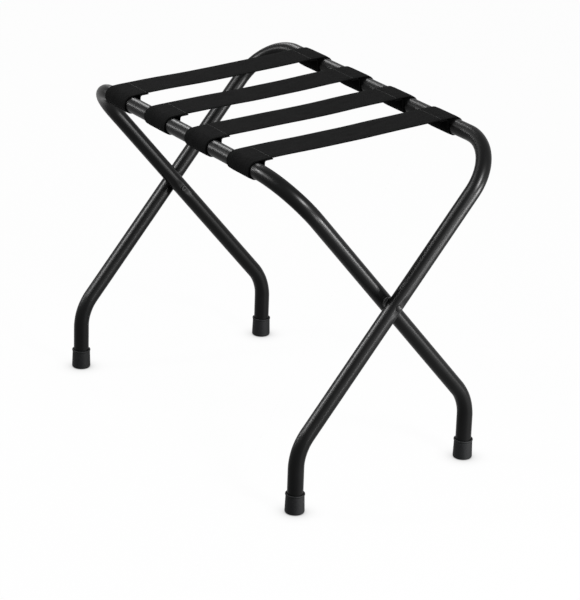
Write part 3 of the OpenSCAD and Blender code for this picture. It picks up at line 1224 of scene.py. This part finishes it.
@dataclass
class Seams:
    """The stitches that close the loops on one rail: a row of lockstitch across each strap."""

    at: Measures
    member: Member
    straps: list[StrapHalf]
    pitch: float = 3 * MM
    gap: float = 0.5 * MM
    thread_r: float = 0.36 * MM
    arch: float = 0.25 * MM
    sink: float = 0.12 * MM
    taper: float = 0.98
    rings: int = 7
    steps_round: int = 6

    def stitch(self) -> tuple[Array, Array]:
        """One stitch along Y with its middle at the origin: a thread that arches and dives at its ends.

        The centre line rises by arch cos(pi s) for s from -1/2 to 1/2 along the stitch, and the
        thread's radius follows the root of a cosine, so its ends close.

        Returns:
            Rings, (stations, points round, 3), and the marks for the twist.
        """
        length = self.pitch - self.gap
        along = np.linspace(-0.5, 0.5, self.rings + 2)[1:-1]
        angles = TURN * np.arange(self.steps_round) / self.steps_round
        radius = self.thread_r * np.sqrt(np.cos(math.pi * along * self.taper))[:, None]
        rings = np.stack(np.broadcast_arrays(
            radius * np.cos(angles), (along * length)[:, None],
            radius * np.sin(angles) + (self.arch * np.cos(math.pi * along) - self.sink)[:, None]), -1)
        twist = np.stack(np.broadcast_arrays((along * length)[:, None], angles[None], 0 * angles[None]), -1)
        return rings, twist

    def places(self) -> Array:
        """Where each stitch goes and whether it faces up or down.

        Returns:
            Rows of (u, y, v, 1 or -1).
        """
        strap = self.straps[0]
        top = strap.loop_r + strap.crown + strap.thickness / 2 - strap.seam_dip
        under = strap.loop_r + strap.crown - 1.5 * strap.thickness + strap.seam_dip
        reach = strap.width - 2 * strap.seam_margin
        count = int(reach / self.pitch)
        steps = (np.arange(count) - (count - 1) / 2) * self.pitch
        spots = [(strap.seam_row, strap.middle_y + y, level, face) for strap in self.straps
                 for level, face in ((top, 1), (under, -1)) for y in steps]
        return np.array(spots)

    def build(self) -> bpy.types.Object:
        """Copies the stitch to every place, closed at both ends.

        Returns:
            The piece.
        """
        rings, twist = self.stitch()
        single = capped(rings, {"twist": twist})
        spots = self.places()
        shape = single.points[None] * np.stack([spots[:, 3], np.ones(len(spots)), spots[:, 3]], -1)[:, None]
        points = (shape + spots[:, None, :3]).reshape(-1, 3)
        points = self.at.laid(points, self.member)
        first = np.arange(len(spots))[:, None, None] * len(single.points)
        faces = [(kind[None] + first).reshape(-1, kind.shape[1]) for kind in single.faces]
        skin = Skin(points, faces, {"twist": np.tile(single.marks["twist"], (len(spots), 1))}).outward()
        word = self.member.word
        return dressed(f"{word}_seam_stitches", skin, SEAM_THREAD, f"{word}_strap_halves",
                       f"{word}_seam_thread")


@dataclass(frozen=True)
class Lamp:
    """A rectangular soft box that faces the middle of the rack."""

    name: str
    place: tuple[float, float, float]
    size: tuple[float, float]
    power: float
    aim: tuple[float, float, float] = (0.0, 0.0, 0.28)

    def build(self) -> None:
        """Hangs the lamp."""
        light = bpy.data.lights.new(self.name, "AREA")
        light.shape = "RECTANGLE"
        light.size, light.size_y = self.size
        light.energy = self.power
        lamp = shown(self.name, light)
        lamp.location = self.place
        toward = np.subtract(self.aim, self.place)
        flat = math.hypot(toward[0], toward[1])
        lamp.rotation_euler = (math.atan2(flat, -toward[2]), 0, math.atan2(-toward[0], toward[1]))


@dataclass
class Studio:
    """A white floor and background, soft boxes, and the camera that looks at the rack's front left."""

    camera_place: tuple[float, float, float] = (-2.1313, -3.1225, 1.6922)
    camera_turn: tuple[float, float, float] = (68.118, -1.796, -33.872)
    lens_mm: float = 173.34
    room_light: float = 0.25
    floor_size: float = 60.0
    floor_white: float = 0.985
    floor_glow: float = 0.972
    floor_paper: float = 0.004
    contact_reach: float = 30 * MM
    contact_depth: float = 0.75
    lamps: tuple[Lamp, ...] = (
        Lamp("left_box", (-1.9, 0.2, 2.0), (0.5, 0.9), 48),
        Lamp("left_back_box", (-1.42, 0.86, 1.57), (0.35, 0.35), 105),
        Lamp("back_right_box", (0.55, 2.1, 1.85), (0.7, 0.7), 33),
        Lamp("back_left_box", (-1.7, 2.0, 1.05), (0.5, 0.5), 38),
        Lamp("front_low_box", (0.2, -1.35, 0.25), (0.25, 0.45), 20),
        Lamp("front_high_box", (0.3, -2.25, 1.65), (0.5, 0.5), 310),
        Lamp("right_box", (1.0, -1.5, 0.12), (0.4, 0.2), 100),
    )

    def seen(self, recipe: Recipe) -> Signal:
        """One for what the camera sees, also by reflection or through glass, and nothing for other light."""
        rays = recipe.node("ShaderNodeLightPath")
        return rays.out("Is Camera Ray").larger(rays.out("Is Glossy Ray")).larger(
            rays.out("Is Transmission Ray"))

    def hang_background(self) -> None:
        """Makes the world white where it is seen and dimmer as a lamp."""
        world = bpy.data.worlds.new("studio_background")
        bpy.context.scene.world = world
        recipe = Recipe(world)
        strength = self.seen(recipe).ramp(0.0, 1.0, self.room_light, self.floor_white)
        light = recipe.node("ShaderNodeBackground", inputs={"Color": grey(1.0), "Strength": strength})
        recipe.node("ShaderNodeOutputWorld", inputs={"Surface": light.out(0)})

    def lay_floor(self) -> None:
        """Lays a white floor that glows where it is seen, with painted contact shadow under the feet, and
        takes shadows.
        """
        half = self.floor_size / 2
        corners = [(-half, -half, 0), (half, -half, 0), (half, half, 0), (-half, half, 0)]
        mesh = bpy.data.meshes.new("studio_floor")
        mesh.from_pydata(corners, [], [(0, 1, 2, 3)])
        material = bpy.data.materials.new("white_floor")
        recipe = Recipe(material)
        open_sky = recipe.node("ShaderNodeAmbientOcclusion", {"samples": 16},
                               {"Distance": self.contact_reach}).out("AO")
        # painted contact shadow: ambient occlusion darkens the floor's glow near the feet
        painted_contact_shadow = open_sky.ramp(0.0, 1.0, 1 - self.contact_depth, 1.0)
        glow = recipe.node("ShaderNodeEmission", inputs={
            "Color": grey(1.0), "Strength": self.seen(recipe) * painted_contact_shadow * self.floor_glow})
        paper = recipe.node("ShaderNodeBsdfDiffuse", inputs={"Color": grey(self.floor_paper)})
        both = recipe.node("ShaderNodeAddShader", inputs={0: glow.out(0), 1: paper.out(0)})
        recipe.node("ShaderNodeOutputMaterial", inputs={"Surface": both.out(0)})
        mesh.materials.append(material)
        shown("studio_floor", mesh)

    def set_camera(self) -> None:
        """Puts up the camera."""
        data = bpy.data.cameras.new("studio_camera")
        data.lens = self.lens_mm
        data.clip_end = 100
        camera = shown("studio_camera", data)
        camera.location = self.camera_place
        camera.rotation_euler = [math.radians(angle) for angle in self.camera_turn]
        bpy.context.scene.camera = camera

    def build(self) -> None:
        """Puts up the camera, the floor, the background and the lamps."""
        bpy.context.scene.view_settings.view_transform = "Standard"
        self.set_camera()
        self.lay_floor()
        self.hang_background()
        for lamp in self.lamps:
            lamp.build()
            log.info("%s hung", lamp.name)


@dataclass
class LuggageRack:
    """The whole rack, piece by piece."""

    at: Measures
    strap_count: int = 4

    def build(self) -> None:
        """Builds the frames, pivots, feet, seams and straps."""
        tubes = {member: BentTube(self.at, member).build() for member in Member}
        for side in Side:
            pivot = Pivot(self.at, side)
            pivot.rivet()
            pivot.spacer()
            for member in Member:
                Foot(self.at, member, side).build()
        for member in Member:
            halves = [StrapHalf(self.at, member, number) for number in range(1, self.strap_count + 1)]
            stitches = Seams(self.at, member, halves).build()
            for half in halves:
                half.build(tubes[member], stitches)


def main() -> None:
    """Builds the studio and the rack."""
    logging.basicConfig(level=logging.INFO, format="%(name)s: %(message)s")
    Studio().build()
    LuggageRack(Measures.of_frame()).build()


if __name__ == "__main__":
    main()
